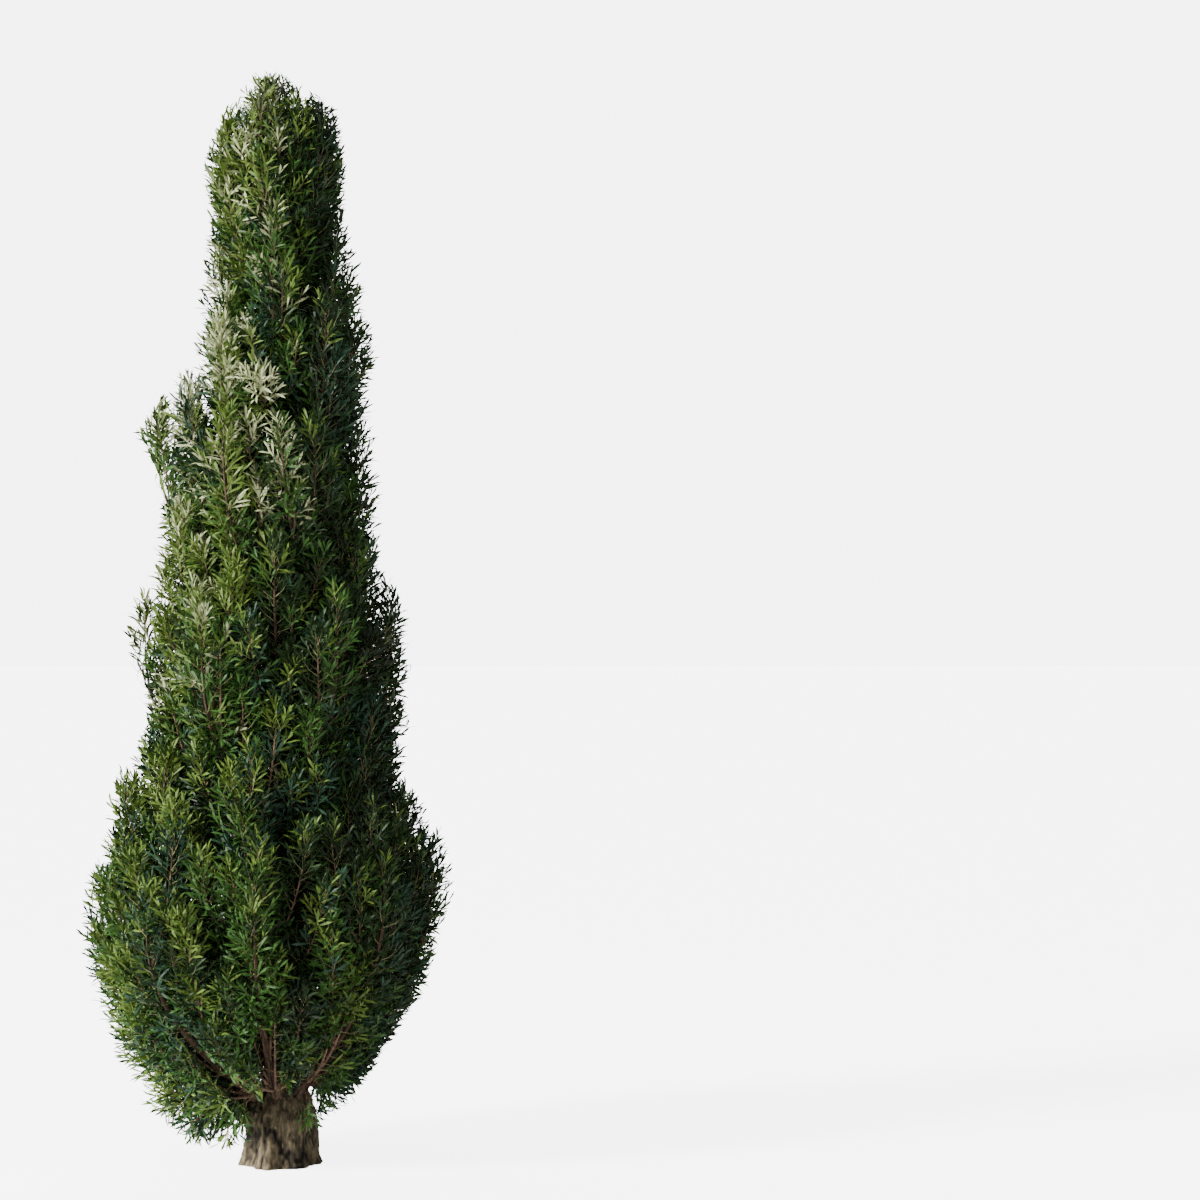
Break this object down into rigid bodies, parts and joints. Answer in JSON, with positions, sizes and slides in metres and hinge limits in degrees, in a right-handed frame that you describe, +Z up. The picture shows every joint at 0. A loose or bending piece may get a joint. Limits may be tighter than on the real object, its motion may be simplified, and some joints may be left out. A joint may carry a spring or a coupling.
{
  "type": "cypress tree",
  "caption": "Columnar evergreen cypress with a dense, tapering crown of upright plumes on a short fluted trunk, cut flat at ground level.",
  "frame": {"origin": "middle of the flat cut under the trunk, at ground level", "axes": "+Z up along the trunk, +X to the right of the front view, -Y towards the viewer"},
  "size_m": [1.0181, 0.9438, 2.9999],
  "materials": {
    "bark": "rough furrowed bark",
    "limb_bark": "matte thin bark",
    "foliage": "matte evergreen leaves"
  },
  "bodies": {
    "root": {"trunk": "bark", "bough_lower_1": "limb_bark", "bough_lower_2": "limb_bark", "bough_lower_3": "limb_bark", "bough_lower_4": "limb_bark", "bough_lower_5": "limb_bark", "bough_lower_6": "limb_bark", "bough_skirt_1": "limb_bark", "bough_skirt_2": "limb_bark", "bough_skirt_3": "limb_bark", "bough_skirt_4": "limb_bark", "bough_skirt_5": "limb_bark", "bough_skirt_6": "limb_bark", "bough_skirt_7": "limb_bark", "bough_skirt_8": "limb_bark", "foliage_crest_1": "foliage", "foliage_crest_2": "foliage", "foliage_crest_3": "foliage", "foliage_high_1": "foliage", "foliage_high_2": "foliage", "foliage_high_3": "foliage", "foliage_high_4": "foliage", "foliage_leader": "foliage", "foliage_lower_1": "foliage", "foliage_lower_2": "foliage", "foliage_lower_3": "foliage", "foliage_lower_4": "foliage", "foliage_lower_5": "foliage", "foliage_lower_6": "foliage", "foliage_middle_1": "foliage", "foliage_middle_2": "foliage", "foliage_middle_3": "foliage", "foliage_middle_4": "foliage", "foliage_middle_5": "foliage", "foliage_middle_6": "foliage", "foliage_neck_1": "foliage", "foliage_neck_2": "foliage", "foliage_neck_3": "foliage", "foliage_neck_4": "foliage", "foliage_skirt_1": "foliage", "foliage_skirt_2": "foliage", "foliage_skirt_3": "foliage", "foliage_skirt_4": "foliage", "foliage_skirt_5": "foliage", "foliage_skirt_6": "foliage", "foliage_skirt_7": "foliage", "foliage_skirt_8": "foliage", "foliage_upper_1": "foliage", "foliage_upper_2": "foliage", "foliage_upper_3": "foliage", "foliage_upper_4": "foliage", "foliage_upper_5": "foliage", "foliage_upper_6": "foliage", "foliage_waist_1": "foliage", "foliage_waist_2": "foliage", "foliage_waist_3": "foliage", "foliage_waist_4": "foliage", "foliage_waist_5": "foliage", "foliage_waist_6": "foliage"}
  },
  "joints": []
}
